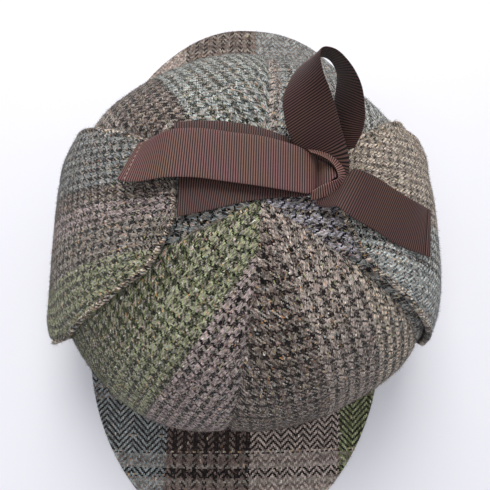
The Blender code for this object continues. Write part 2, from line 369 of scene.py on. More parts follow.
def weave(tree, place, pitch, pick, herringbone):
    """Yarn numbers, place within a yarn, and 1 where the warp is on top, in a 2/2 twill.
    herringbone is how many yarns pass before the diagonal turns back, outside a stretch of the
    cloth and inside it, and where that stretch starts and ends in mm."""
    split = add_node(tree, "SeparateXYZ", {0: place})
    x = calc(tree, "DIVIDE", split.outputs[0], pitch)
    y = calc(tree, "DIVIDE", split.outputs[1], pick)
    end, row = calc(tree, "FLOOR", x), calc(tree, "FLOOR", y)
    step = end
    if herringbone:
        wide, narrow, first, last = herringbone
        inside = calc(tree, "MULTIPLY", calc(tree, "GREATER_THAN", end, first / pitch),
                      calc(tree, "LESS_THAN", end, last / pitch))
        step = choose(tree, inside, calc(tree, "PINGPONG", end, wide),
                      calc(tree, "PINGPONG", end, narrow))
    count = calc(tree, "DIVIDE", calc(tree, "ADD", step, row), 4.0)
    float_number = calc(tree, "FLOOR", count)
    warp_up = calc(tree, "LESS_THAN", calc(tree, "SUBTRACT", count, float_number), WARP_SHARE)
    return {"x": x, "y": y, "end": end, "row": row, "float": float_number, "warp_up": warp_up}


# %% What colour each yarn is
def stripe_stops(stripes, span, shade):
    """Stripes (edge in mm, main yarn, second yarn) as places from 0 to 1."""
    stops = [(0.0, YARN[stripes[0][shade]])]
    for before, after in zip(stripes, stripes[1:]):
        stops.append(((before[0] - span[0]) / (span[1] - span[0]), YARN[after[shade]]))
    return stops


def yarn_colour(tree, number, along, pitch, stripes, span, rhythm):
    """A yarn's colour from its stripe and its turn in the rhythm. A few dark yarns are hidden."""
    width = span[1] - span[0]
    at = calc(tree, "MULTIPLY_ADD", number, pitch / width, -span[0] / width)
    group, second = rhythm
    turn = calc(tree, "LESS_THAN", calc(tree, "FLOORED_MODULO", number, group), second - 0.5)
    hidden = dice(tree, number, calc(tree, "FLOOR", calc(tree, "MULTIPLY", along, 0.5)), 4.0)[0]
    turn = calc(tree, "MULTIPLY", turn, calc(tree, "GREATER_THAN", hidden, 0.10))
    return blend(tree, turn, bands(tree, at, stripe_stops(stripes, span, 1)),
                 bands(tree, at, stripe_stops(stripes, span, 2)))


# %% Loose fibres
def fibre_marks(tree, place, angle, wide, long, salt):
    """Short marks that lie one way: three random numbers each, and how far from its middle."""
    stretch, shift = (1 / wide, 1 / long, 1.0), (salt, salt * 0.7, 0.0)
    lie = add_node(tree, "VectorMath", {0: turned(tree, place, angle), 1: stretch, 2: shift},
                   operation="MULTIPLY_ADD")
    cells = add_node(tree, "TexVoronoi", {"Vector": lie.outputs[0], "Scale": 1.0},
                     voronoi_dimensions="2D")
    parts = add_node(tree, "SeparateColor", {0: cells.outputs["Color"]})
    return parts.outputs[0], parts.outputs[1], parts.outputs[2], cells.outputs["Distance"]


# %% The tweed material
WOOL = {"Roughness": 0.95, "Sheen Weight": 0.16, "Sheen Roughness": 0.5,
        "Specular IOR Level": 0.08}
YARN_SHADES = (0.9, 0.55)  # each pair: how much this changes the tone, and its least
# painted shade: each fibre is darker away from its middle
FIBRE_ROUND_SHADE = (0.8, 0.4)
CLOTH_CLOUDS = (1.0, 0.5)
TONE_CAP = 2.1
FLECK_SHARE = 0.55  # how far a fleck hides its yarn's own colour


def tweed(name, warp, weft, warp_span=(-90, 90), weft_span=(-20, 240), pitch=0.66, pick=0.66,
          herringbone=None, rhythm=(8, 4), picks=(8, 3), fleck=0.10, grain=0.0, waver=0.5,
          gap=0.20, rough=1.0, light=1.70, fine=0.56, long=2.6):
    """Wool cloth. warp and weft are stripes (edge in mm, main yarn, second yarn). rhythm is how
    many yarns make a group and how many of them are of the second colour; picks is the same
    for the weft. fleck is the share of yarns with a fleck, grain the cut's angle, gap the tone
    left in the painted shade between two yarns, fine and long a fibre's size in mm."""
    material, tree, shader = new_material(name, WOOL)
    still, place = wavy_cloth(tree, waver, waver * 0.6)
    if grain:
        still, place = turned(tree, still, grain), turned(tree, place, grain)
    cloth = weave(tree, place, pitch, pick, herringbone)
    warp_up = cloth["warp_up"]
    warp_colour = yarn_colour(tree, cloth["end"], cloth["row"], pitch, warp, warp_span, rhythm)
    weft_colour = yarn_colour(tree, cloth["row"], cloth["end"], pick, weft, weft_span, picks)
    colour = blend(tree, warp_up, weft_colour, warp_colour)

    # each visible length of yarn has its own shade
    yarn = choose(tree, warp_up, calc(tree, "ADD", cloth["row"], 0.5), cloth["end"])
    shade, tint = dice(tree, yarn, cloth["float"], 7.0)
    hue = add_node(tree, "SeparateColor", {0: tint}).outputs[1]

    # painted shade: a yarn is round, so it is darker at its sides and in the gaps between yarns;
    # the same swell also raises the bump
    x_in = calc(tree, "PINGPONG", calc(tree, "SUBTRACT", cloth["x"], cloth["end"]), 0.5)
    y_in = calc(tree, "PINGPONG", calc(tree, "SUBTRACT", cloth["y"], cloth["row"]), 0.5)
    swell = calc(tree, "POWER", calc(tree, "MULTIPLY", choose(tree, warp_up, y_in, x_in), 2.0), 0.5)

    # the fibres on it lean two ways; some are of another fleece
    first = fibre_marks(tree, place, 24.0, fine, long, 3.0)
    second = fibre_marks(tree, place, -20.0, fine * 0.9, long * 0.8, 11.0)
    which = calc(tree, "GREATER_THAN", first[2], 0.5)
    mark = choose(tree, which, first[0], second[0])
    other = bands(tree, choose(tree, which, first[1], second[1]),
                  [(i / len(FLECKS), c) for i, c in enumerate(FLECKS)])
    is_fleck = calc(tree, "GREATER_THAN", hue, 1.0 - fleck)
    colour = blend(tree, calc(tree, "MULTIPLY", is_fleck, FLECK_SHARE), colour, other)
    # painted shade: a fibre mark darkens away from its middle; the same value raises the bump
    fibre_round_and_shade = calc(tree, "SUBTRACT", 1.0, choose(tree, which, first[3], second[3]))

    # the tone is a product of all these and of slow clouds
    tone = calc(tree, "MULTIPLY", calc(tree, "MULTIPLY_ADD", shade, *YARN_SHADES),
                calc(tree, "MULTIPLY_ADD", swell, 1.0 - gap, gap))
    marks = calc(tree, "MULTIPLY_ADD", calc(tree, "POWER", mark, 1.4), 2.6 * rough,
                 1.1 - 0.8 * rough)
    clouds = noise(tree, still, 0.28, flat=True).outputs["Fac"]
    for part in (calc(tree, "MULTIPLY", marks, light),
                 calc(tree, "MULTIPLY_ADD", fibre_round_and_shade, *FIBRE_ROUND_SHADE),
                 calc(tree, "MULTIPLY_ADD", clouds, *CLOTH_CLOUDS)):
        tone = calc(tree, "MULTIPLY", tone, part)
    tone = calc(tree, "MINIMUM", tone, TONE_CAP)
    paint_shader(tree, shader, colour, tone)
    height = calc(tree, "ADD", swell, calc(tree, "MULTIPLY", fibre_round_and_shade, 0.7))
    height = calc(tree, "ADD", height, calc(tree, "MULTIPLY", mark, 0.5))
    relief(tree, shader, height, 0.65, 0.0005)
    return material


# %% [markdown]
# ## Nap
#
# Woollen yarn is carded, so fibres stand out of it every way: they soften each seam and give
# the outline its haze. Here each loose fibre is a very thin curved strip. Its place on a
# colour chart (the layer "OFBake") says which fleece it is of, and how far along it one is.

# %% The nap's colour chart
FLEECES = list(YARN.values()) + FLECKS
FLEECE_OF = {name: i for i, name in enumerate(YARN)}


def nap_material():
    """Every fleece in one row of bands. A fibre is lighter towards its tip."""
    material, tree, shader = new_material("wool_nap", {"Roughness": 0.9, "Specular IOR Level": 0.1})
    chart = add_node(tree, "UVMap", uv_map="OFBake").outputs[0]
    split = add_node(tree, "SeparateXYZ", {0: chart})
    fleece = bands(tree, split.outputs[0], [(i / len(FLEECES), c) for i, c in enumerate(FLEECES)])
    root_to_tip = calc(tree, "MULTIPLY_ADD", split.outputs[1], 0.5, 0.8)
    paint_shader(tree, shader, fleece, root_to_tip)
    return material


nap = nap_material()


FLECK_FIBRES = 0.06  # share of the fibres that are of a fleck's colour
DARK_FIBRES = 0.30  # and of the dark yarn's
STRAY_FIBRES = 0.10  # share that stands out further than the rest
HALF_FIBRE = 0.06  # half a fibre's width, mm


def fleece_choice(random, stripes, cloth_x):
    """Each fibre's fleece: mostly its stripe's main yarn, and some flecks."""
    edges = np.array([stripe[0] for stripe in stripes[:-1]])
    main = np.array([FLEECE_OF[stripe[1]] for stripe in stripes])
    pick = main[np.searchsorted(edges, cloth_x)]
    other = random.integers(len(YARN), len(FLEECES), len(cloth_x))
    roll = random.random(len(cloth_x))
    pick = np.where(roll < FLECK_FIBRES + DARK_FIBRES, FLEECE_OF["peat"], pick)
    return np.where(roll < FLECK_FIBRES, other, pick)


def add_nap(name, grid, normals, cloth_x, stripes, per_mm2, seed, length=2.4, height=0.45):
    """Loose fibres over a grid of points, each a thin curved strip of two steps."""
    random = np.random.default_rng(seed)
    cell = cell_areas(grid)
    count = int(cell.sum() * per_mm2)
    where = random.choice(cell.size, count, p=cell.ravel() / cell.sum())
    i, j = np.unravel_index(where, cell.shape)
    s, t = random.random((2, count, 1))
    root = (grid[i, j] * (1 - s) + grid[i + 1, j] * s) * (1 - t) + (
        grid[i, j + 1] * (1 - s) + grid[i + 1, j + 1] * s) * t
    up = normals[i, j]
    along = grid[i + 1, j] - grid[i, j]
    along = unit(along - up * (along * up).sum(-1, keepdims=True))
    cross = np.cross(up, along)
    lean = random.normal(0.0, 0.75, (count, 1)) + math.pi * random.integers(0, 2, (count, 1))
    ahead = along * np.cos(lean) + cross * np.sin(lean)
    aside = np.cross(up, ahead)
    long = length * random.uniform(0.5, 1.3, (count, 1))
    curl = random.normal(0.0, 0.25, (count, 1)) * long
    high = height * random.uniform(0.3, 1.6, (count, 1))
    stray = random.random((count, 1)) < STRAY_FIBRES
    long, high = np.where(stray, long * 1.5, long), np.where(stray, high * 2.4, high)
    steps = []
    for step, rise, wide in ((0.0, -0.15, 0.7), (0.5, 0.75, 1.0), (1.0, 0.75, 0.25)):
        middle = root + ahead * long * step + aside * curl * step * step + up * high * rise
        reach = aside * (HALF_FIBRE * wide)
        steps += [middle - reach, middle + reach]
    points = np.stack(steps, axis=1).reshape(-1, 3)
    points[:, 2] = np.maximum(points[:, 2], 0.05)
    quad = np.array([[0, 1, 3, 2], [2, 3, 5, 4]])
    faces = (np.arange(count)[:, None, None] * 6 + quad[None]).reshape(-1, 4)
    fleece = fleece_choice(random, stripes, cloth_x[i, j])
    u = (fleece[:, None] + np.array([[0.3, 0.7, 0.3, 0.7, 0.3, 0.7]])) / len(FLEECES)
    v = np.broadcast_to(np.array([0.02, 0.02, 0.5, 0.5, 0.98, 0.98]), u.shape)
    chart = np.stack([u, v], axis=-1).reshape(-1, 2)
    add_piece(name, quad_mesh(name, points, faces, "OFBake", chart), nap)
    return count


# %% [markdown]
# ## The six gores
#
# Each gore is cut with its warp along its middle, so the yarns of two neighbours meet at an
# angle. The seam allowance underneath pulls the cloth down into a narrow groove, and between
# two grooves the wool stands a little proud.

# %% Gore cloths
WEFT = [(400, "ash", "soot")]
GORES = {
    # name: from, to, the cut's angle to the warp, and the stripes across it from its start
    # side: edge in mm, main yarn, second yarn
    "gore_right": (329.0, 388.0, 0.0, [(-22, "slate", "peat"), (18, "lilac", "peat"),
                                       (80, "slate", "peat")]),
    "gore_back_right": (28.0, 86.0, -24.0, [(30, "mist", "soot"), (73, "slate", "soot"),
                                            (120, "taupe", "bark")]),
    "gore_back_left": (86.0, 148.0, 0.0, [(10, "cloud", "pine"), (40, "bark", "soot"),
                                          (80, "taupe", "peat")]),
    "gore_left": (148.0, 207.0, 0.0, [(-24, "taupe", "soot"), (80, "slate", "soot")]),
    "gore_front_left": (207.0, 268.0, 0.0, [(-12, "moss", "pine"), (12, "lichen", "pine"),
                                            (80, "heather", "soot")]),
    "gore_front_right": (268.0, 329.0, 0.0, [(-6, "bark", "soot"), (24, "taupe", "peat"),
                                             (80, "oatmeal", "peat")]),
}

# %% The lining's satin
def lining_material():
    """A plain brown satin: fine warp floats with a soft gloss."""
    material, tree, shader = new_material("satin_lining", {"Roughness": 0.42})
    lie = add_node(tree, "VectorMath", {0: on_cloth(tree), 1: (3.0, 0.7, 1.0)},
                   operation="MULTIPLY")
    floats = noise(tree, lie.outputs[0], 1.0, 3.0).outputs["Fac"]
    share = calc(tree, "MULTIPLY_ADD", floats, 1.6, -0.3)
    wire(tree, shader.inputs["Base Color"],
         blend(tree, share, paint(66, 50, 46), paint(104, 84, 76)))
    relief(tree, shader, floats, 1.0, 0.0001)
    return material


lining = lining_material()

# %% Gore shapes
def soft_dents(points):
    """Slow hollows and swellings of soft wool, in mm."""
    x, y, z = points[..., 0], points[..., 1], points[..., 2]
    return (0.55 * np.sin(x / 21.0 + 1.3) * np.sin(y / 17.0 - 0.6)
            + 0.40 * np.sin(x / 13.0 - y / 19.0 + 2.1) * np.cos(z / 15.0))


def rises_along(middle, top, shares, samples=600):
    """Rises at shares of the cloth's length from rim to top, and that length."""
    fine = np.linspace(-1.0, top, samples)
    run = lengths_along(crown(np.full(samples, math.radians(middle)), fine), 0)
    return np.interp(shares * run[-1], run, fine), run[-1]


GORE_ROWS, GORE_COLS = 104, 61
SEAM_DIP, SEAM_WIDE = 1.5, 1.5  # how deep and wide a seam's groove is, mm
PANEL_SWELL, SWELL_WIDE = 1.1, 15.0  # how far the wool stands proud, and from where
NAP_ON_WOOL = 1.0  # fibres for each square millimetre
NAP_ON_PEAK = 0.45


def make_gore(name, start, end, grain, stripes):
    """One panel of the crown, with the grooves of its two seams."""
    cloth = tweed(name + "_tweed", stripes, WEFT, warp_span=(-90, 130), grain=grain)
    rises, length = rises_along((start + end) / 2, 0.9985, np.linspace(0.0, 1.0, GORE_ROWS))
    a, b = math.radians(start), math.radians(end)
    across = np.linspace(0.0, 1.0, GORE_COLS)
    across = across - 0.8 * np.sin(across * 2 * math.pi) / (2 * math.pi)
    theta = np.broadcast_to(a + (b - a) * across, (GORE_ROWS, GORE_COLS)).copy()
    rise = np.broadcast_to(rises[:, None], theta.shape)
    face = crown(theta, rise)
    reach = np.linalg.norm((face - crown(0.0, 1.0))[..., :2], axis=-1)
    seam = np.minimum(theta - a, b - theta) * reach
    lift = -SEAM_DIP * np.exp(-(seam / SEAM_WIDE) ** 2) + PANEL_SWELL * smooth(seam / SWELL_WIDE)
    lift = (lift - 0.25) * smooth(reach / 16.0)
    lift = lift + soft_dents(face) * smooth(reach / 30.0) * smooth((rise + 1) / 0.5)
    normal = crown_normal(theta, rise)
    outer = face + normal * lift[..., None]
    inner = crown(theta, rise, CLOTH)
    middle = GORE_COLS // 2
    width = lengths_along(face, 1)
    cloth_x = width - width[:, middle:middle + 1]
    cloth_y = np.broadcast_to(lengths_along(face, 0)[:, middle:middle + 1], theta.shape)
    piece = add_wall(name + "_wool", outer, inner, cloth_x, cloth_y, cloth, lining)
    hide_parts(name)
    return add_nap(name + "_nap", outer, normal, cloth_x, stripes,
                   NAP_ON_WOOL, len(name) + int(start))


fibres = [make_gore(name, *cut) for name, cut in GORES.items()]
print("fibres on the gores:", fibres)


# %% [markdown]
# ## The two peaks
#
# A peak is two layers of tweed over a stiff core, cut as a crescent and sewn under the rim.
# It arches, so on a table only its two sides touch. Its cloth is herringbone, whose stripes
# run from the rim to the edge.

# %% Peaks
PEAK_THICK = 3.0
PEAK_HALF_WIDE = 93.5
PEAK_MIDDLE_Y = 50.0  # how far its widest line is from the hat's middle
PEAK_REACH = 121.5  # from that line to its tip
PEAK_ROOT_ANGLE = 58.5  # half the rim that it is sewn to, in degrees
PEAK_CORNER = 0.90  # share of its half outline where it rounds in
PEAK_CORNER_LEFT = 0.30  # depth left at the very end
PEAK_TIP_Z = 8.0
PEAK_SIDE_Z = 1.4
PEAK_WARP = [(-42, "slate", "slate"), (8, "bark", "peat"), (63, "taupe", "taupe"),
             (120, "lichen", "moss")]
PEAKS = {
    # name: side, outline powers, where it was cut from the cloth in mm, and the stripes
    # across it
    "front_peak": (-1.0, (1.9, 1.9), (0.0, 0.0),
                   [(88, "bark", "peat"), (120, "peat", "peat"), (128, "bark", "ash"),
                    (133, "soot", "soot"), (200, "ash", "bark")]),
    "back_peak": (1.0, (2.1, 2.4), (-38.0, -62.0), [(200, "ash", "bark")]),
}


def make_peak(name, side, powers, cut, stripes):
    """A peak, from the rim to its edge, flattened where the table bears it."""
    cloth = tweed(name + "_tweed", PEAK_WARP, stripes, warp_span=(-100, 130), weft_span=(0, 200),
                  pitch=0.90, pick=0.90, herringbone=(10, 5, -42, 63), rhythm=(7, 3),
                  picks=(7, 3), fleck=0.02, waver=0.35, gap=0.8, rough=0.40, light=1.32,
                  fine=0.46, long=1.5)
    stations = np.linspace(-1.0, 1.0, 151)
    stations = stations + 0.02 * np.sin(stations * math.pi)
    steps = 1 - (1 - np.linspace(0.0, 1.0, 50)) ** 1.5
    u, v = np.meshgrid(stations, steps)
    angle = np.radians(side * 90.0 - side * u * PEAK_ROOT_ANGLE)
    root = crown(angle, -1.0, CLOTH * 0.9)
    root[..., 2] = RIM_Z - 0.3
    turn = np.radians(u * 90.0)
    power = np.where(u < 0, powers[0], powers[1])
    x = np.copysign(np.abs(np.sin(turn)) ** (2 / power), u)
    y = np.abs(np.cos(turn)) ** (2 / power)
    rise = np.cos(np.minimum(np.abs(turn) * 1.7, math.pi / 2)) ** 2
    edge = np.stack([CROWN_X + PEAK_HALF_WIDE * x, side * (PEAK_MIDDLE_Y + PEAK_REACH * y),
                     PEAK_SIDE_Z + (PEAK_TIP_Z - PEAK_SIDE_Z) * rise], axis=-1)
    end = np.maximum(np.abs(u) - PEAK_CORNER, 0.0) / (1.0 - PEAK_CORNER)
    depth = PEAK_CORNER_LEFT + (1 - PEAK_CORNER_LEFT) * np.sqrt(np.clip(1 - end * end, 0, 1))
    top = root + (edge - root) * (v * depth)[..., None]
    low = np.maximum(top[..., 2] - PEAK_THICK, 0.0)
    middle = top.copy()
    middle[..., 2] = low + PEAK_THICK / 2
    from_edge = np.linalg.norm(middle - middle[-1:], axis=-1)
    half = edge_round(u.shape, from_edge, 1.7) * PEAK_THICK / 2
    outer, inner = middle.copy(), middle.copy()
    outer[..., 2] += half
    inner[..., 2] -= half
    cloth_x, cloth_y = middle[..., 0] * -side, middle[..., 1] * side
    cloth_x, cloth_y = cloth_x + cut[0], cloth_y + cut[1] + 4.0 * cloth_x / PEAK_HALF_WIDE
    if side < 0:
        outer, inner = outer[:, ::-1], inner[:, ::-1]
        cloth_x, cloth_y = cloth_x[:, ::-1], cloth_y[:, ::-1]
    piece = add_wall(name + "_wool", outer, inner, cloth_x, cloth_y, cloth)
    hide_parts(name)
    normal = grid_normals(outer)
    normal = normal * np.sign(normal[..., 2:3])
    return add_nap(name + "_nap", outer, normal, cloth_x, PEAK_WARP,
                   NAP_ON_PEAK, 40 + int(side), length=1.6, height=0.3)


fibres = [make_peak(name, *sizes) for name, sizes in PEAKS.items()]
print("fibres on the peaks:", fibres)


# %% [markdown]
# ## The ear flaps
#
# Each flap is sewn to the rim between the peaks. Turned up, it stands off the crown's side
# and then lies on the dome, where the ribbon holds its tip. Its two cloths are turned in
# together round the edge, which makes a thick soft rim.

# %% Ear flaps
FLAP_THICK = 3.0
FLAP_AIR = 0.7  # between a flap and the dome
FLAP_LEAN = 0.38  # how far its side leans in for each mm of height
FLAP_CURVE = 40.0  # radius of its rounding, seen from the front
FLAP_CORNER = 5.0  # how far its two side edges bend in
FLAP_ROOT_ANGLE = 27.5
FLAP_TIP_FROM = 0.68  # rise where it starts to round off
FLAP_TIP_HALF = 6.0
FLAP_RADIUS = 103.0  # the crown's radius under the flaps
FLAPS = {
    # name: side, middle and half-angle in degrees, outside x in mm, x for each y, tip rise,
    # and its stripes
    "left_ear_flap": (-1.0, 182.5, 32.5, 107.6, -0.022, 0.812,
                      [(-60, "taupe", "peat"), (-33, "lichen", "pine"), (-12, "ash", "soot"),
                       (2, "heather", "soot"), (11, "bark", "soot"), (90, "slate", "soot")]),
    "right_ear_flap": (1.0, 4.0, 33.5, 107.4, 0.028, 0.830,
                       [(-30, "mist", "slate"), (-2, "mist", "soot"), (90, "oatmeal", "bark")]),
}


def flap_half_angle(rise, half, tip_rise):
    """Half the plan angle that a flap covers: narrow at the rim, round at the tip."""
    low = FLAP_ROOT_ANGLE + (half - FLAP_ROOT_ANGLE) * smooth((rise + 1.0) / 0.40) - 0.4
    if rise <= FLAP_TIP_FROM:
        return math.radians(low)
    reach, first, last = (math.cos(r * math.pi / 2) ** DOME_POWER
                          for r in (rise, FLAP_TIP_FROM, tip_rise))
    half_wide = FLAP_RADIUS * first * math.sin(math.radians(half))
    t = min((first - reach) / (first - last), 1.0)
    wide = FLAP_TIP_HALF + (half_wide - FLAP_TIP_HALF) * (1 - t ** 1.15) ** 0.75
    return math.asin(min(wide / (FLAP_RADIUS * reach), 0.95))


def flap_grid(side, middle, half, outside, per_y, tip_rise, rows=90, cols=80):
    """The middle layer of a flap."""
    ease = 1 - (1 - np.linspace(0.0, 1.0, rows)) ** 1.6
    rises = rises_along(middle, tip_rise, ease, 500)[0]
    bend = math.pi / 2 * 0.95
    across = np.sin(np.linspace(-1.0, 1.0, cols) * bend) / math.sin(bend)
    grid = []
    for rise in rises:
        theta = math.radians(middle) + across * flap_half_angle(rise, half, tip_rise)
        point = crown(theta, rise) + crown_normal(theta, rise) * (FLAP_AIR + FLAP_THICK / 2)
        high = point[:, 2] - BULGE_Z
        wall = (outside + side * per_y * point[:, 1] - FLAP_THICK / 2
                - FLAP_LEAN * high - high ** 2 / (2 * FLAP_CURVE)
                - FLAP_CORNER * np.clip((np.abs(across) - 0.7) / 0.3, 0.0, 1.0) ** 2)
        air = wall - side * point[:, 0]
        stand_off = (air + np.sqrt(air ** 2 + 16.0)) / 2
        point[:, 0] += side * stand_off * smooth((rise + 1.0) / 0.55)
        grid.append(point)
    return np.array(grid)


EDGE_ROLL = 2.6  # width of the turned edge, mm
edge_cloth = tweed("flap_edge_tweed", [(400, "oatmeal", "peat")], [(400, "bark", "soot")],
                   fleck=0.25)


def make_flap(name, side, middle, half, outside, per_y, tip_rise, stripes):
    """A flap, with a stitched seam just inside its thick turned edge."""
    cloth = tweed(name + "_tweed", stripes, WEFT)
    grid = flap_grid(side, middle, half, outside, per_y, tip_rise)
    run, cloth_y = lengths_along(grid, 1), lengths_along(grid, 0)
    away = np.minimum(np.minimum(run, run[:, -1:] - run), cloth_y[-1:] - cloth_y)
    half_thick = edge_round(away.shape, away, 1.7) * FLAP_THICK / 2
    normal = grid_normals(grid)
    seam = 0.9 * np.exp(-((away - EDGE_ROLL - 0.5) / 0.7) ** 2)
    roll = 0.35 * np.exp(-((away - EDGE_ROLL / 2) / 1.0) ** 2)
    outer = grid + normal * (half_thick - seam + roll)[..., None]
    inner = grid - normal * half_thick[..., None]
    cloth_x = grid[..., 1] * (1 + 0.5 * smooth((cloth_y / cloth_y[-1:] - 0.4) / 0.6))
    rolled = (away[:-1, :-1] + away[1:, 1:]) / 2 < EDGE_ROLL
    piece = add_wall(name + "_wool", outer, inner, cloth_x, cloth_y, cloth,
                     edge_cloth, rolled)
    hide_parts(name)
    return add_nap(name + "_nap", outer, normal, cloth_x, stripes,
                   NAP_ON_WOOL, 60 + int(side))


fibres = [make_flap(name, *sizes) for name, sizes in FLAPS.items()]
print("fibres on the flaps:", fibres)


# %% [markdown]
# ## Grosgrain ribbon
#
# Grosgrain has a thick weft under fine warp threads, which makes ribs straight across it.
# The ribs are real relief here, and their light and shade are painted into the grosgrain's
# colour too. A ribbon bends only one way, so each piece is a row of places: its middle, the
# way its width points, and its width there.

# %% Ribbon tables
RIB_PITCH = 1.03
LEFT_TAIL = (
    # x, y, z, then wx, wy, wz, which is the way its width points, and the width
    (29.4, 10.8, 134.4, 0, 1, 0, 8.5),
    (30.1, 10.6, 136, 0, 1, 0, 12),
    (29.2, 10.2, 138.1, 0, 1, 0, 15.2),
    (26.4, 9.9, 139.6, 0, 1, 0, 17.8),
    (21, 11.5, 140, 0, 1, 0.03, 20),
    (8, 14.5, 139, 0, 1, 0, 22),
    (-5, 16, 138.7, 0, 1, 0, 22),
    (-19, 17.5, 138.6, 0.02, 1, 0, 22),
    (-30.5, 17.1, 138.3, 0.05, 1, -0.05, 22),
    (-37, 16.3, 136.3, 0.09, 1, -0.1, 22),
    (-43.5, 15.6, 132.9, 0.18, 1, -0.2, 22),
    (-50.5, 16.3, 128.9, 0.32, 1, -0.36, 22),
)
RIGHT_TAIL = (
    (30.6, 2, 135.2, 0.1, 0.99, 0.05, 7),
    (34, 2.2, 136.2, 0.25, 0.96, 0.05, 11.5),
    (38.2, 3.2, 138.2, 0.38, 0.92, 0.05, 15),
    (42, 4.1, 139.2, 0.42, 0.88, 0, 18),
    (46.5, 2.4, 138.6, 0.42, 0.88, -0.08, 20.5),
    (52, 0.5, 136, 0.4, 0.9, -0.12, 22),
    (58, -1.5, 132.6, 0.4, 0.9, -0.15, 22),
    (65, -4, 128.4, 0.4, 0.9, -0.1, 22),
    (73, -6, 123.2, 0.33, 0.94, -0.05, 22),
    (84, -7.5, 115.9, 0.06, 1, -0.05, 22),
)
LEFT_TIE = (
    (26.8, 9, 134.6, 0, 1, 0, 15),
    (15, 9, 134.5, 0.03, 1, 0, 17),
    (2, 7.8, 134.4, 0.08, 1, 0, 19),
    (-12, 4.8, 134, 0.1, 1, 0, 21),
    (-27.2, 2, 133.2, -0.03, 1, 0, 22),
)
LOOP_OUT = (
    (26.8, 13.5, 135.8, 0, 1, 0, 15),
    (14, 18, 135.8, 0, 1, 0, 20),
    (-1, 21, 135.8, 0.05, 1, -0.02, 22),
    (-15, 22, 135.9, 0, 1, -0.03, 22),
    (-28, 20.8, 135.9, -0.05, 1, -0.03, 22),
)
LOOP_BACK = tuple((x, y, z + 1.2, *rest) for x, y, z, *rest in reversed(LOOP_OUT))
BACK_LOOP = (*LOOP_OUT, (-29.3, 20.8, 136.5, -0.05, 1, -0.03, 22), *LOOP_BACK)
BOW_LOOP = (
    # the last column: how far its ribs lean across it
    (41.2, 7.6, 136.6, 0.3, -0.95, 0, 6.5, 0),
    (39.9, 11.6, 138.2, 0.62, -0.78, 0.05, 9.5, 0.1),
    (36.2, 15.6, 139.8, 0.9, -0.42, 0.2, 16, 0.2),
    (32.3, 20, 142, 0.84, 0.02, 0.42, 19.5, 0.3),
    (27.6, 26.3, 147, 0.86, 0.02, 0.45, 22, 0.35),
    (23.8, 35.5, 152.5, 0.8, -0.1, 0.58, 22, 0.35),
    (22.8, 42.4, 156, 0.54, -0.27, 0.8, 22, 0.35),
    (24.2, 48.6, 158.5, 0.24, -0.36, 0.9, 22, 0.3),
    (28.4, 51.9, 159.6, -0.03, -0.41, 0.91, 22, 0.15),
    (33.4, 50.9, 159.2, -0.02, -0.41, 0.91, 22, 0.1),
    (37.8, 46.4, 157, 0.1, -0.43, 0.9, 22, 0.1),
    (40.2, 41.4, 153.5, 0.28, -0.48, 0.83, 22, 0.15),
    (41.1, 35.5, 148.8, 0.42, -0.5, 0.74, 21.5, 0.15),
    (40.6, 28, 143.8, 0.58, -0.34, 0.7, 19, 0.1),
    (38.3, 20.8, 138.8, 0.78, -0.1, 0.5, 15, 0),
)
PRESSED = (24.0, 38.0)  # its ribs are pressed flat by degrees between these places, mm
RIBBONS = {
    # name: table, hold, stitched hem in mm, grosgrain outside
    "left_tail": (LEFT_TAIL, "laid", 3.4, ""),
    "right_tail": (RIGHT_TAIL, "laid", 2.8, "_pressed_end"),
    # the tie and the two loops wear the darker grosgrain, which is painted shade
    "left_tie": (LEFT_TIE, "laid", 0.0, "_painted_shade"),
    "back_loop": (BACK_LOOP, "folded", 0.0, "_painted_shade"),
    "bow_loop": (BOW_LOOP, "folded", 0.0, "_painted_shade"),
}

# %% Ribbon material
def ribbon_material(name, warm, plum, groove, pressed=None):
    """Grosgrain, with painted light on its crests and painted shade in its grooves. The crests
    drift between two browns; where it's pressed the painted ribs hardly show.
    """
    material, tree, shader = new_material(name, {"Roughness": 0.6, "Sheen Weight": 0.04,
                                                 "Specular IOR Level": 0.25})
    place = on_cloth(tree)
    along = add_node(tree, "SeparateXYZ", {0: place}).outputs[0]
    rib = calc(tree, "SINE", calc(tree, "MULTIPLY", along, 2 * math.pi / RIB_PITCH))
    # painted light and shade of the ribs: from the near-black groove colour to the crest colour
    crest = clamp(tree, calc(tree, "MULTIPLY_ADD", rib, 0.85, 0.5))
    if pressed:
        first, last = pressed
        share = calc(tree, "MULTIPLY_ADD", along, 1 / (last - first), -first / (last - first))
        crest = choose(tree, clamp(tree, share, 0.9), crest, 0.40)
    drift = calc(tree, "MULTIPLY_ADD", noise(tree, place, 0.07).outputs["Fac"], 3.0, -1.0)
    crests = blend(tree, drift, paint(*warm), paint(*plum))
    colour = blend(tree, crest, paint(*groove), crests)
    stretch = add_node(tree, "Mapping", {0: place, "Scale": (0.25, 2.4, 1.0)}).outputs[0]
    threads = noise(tree, stretch, 1.4).outputs["Fac"]
    tone = calc(tree, "MULTIPLY_ADD", threads, 0.5, 0.75)
    paint_shader(tree, shader, colour, tone)
    relief(tree, shader, threads, 0.5, 0.0002)
    return material


def thread_material():
    """Sewing thread: its twist shows as fine slanted bands."""
    material, tree, shader = new_material("sewing_thread", {"Roughness": 0.5})
    place = add_node(tree, "TexCoord").outputs["Object"]
    twist = add_node(tree, "TexWave", {"Vector": place, "Scale": 900.0},
                     bands_direction="DIAGONAL").outputs["Fac"]
    wire(tree, shader.inputs["Base Color"],
         blend(tree, twist, paint(96, 70, 63), paint(176, 148, 138)))
    return material


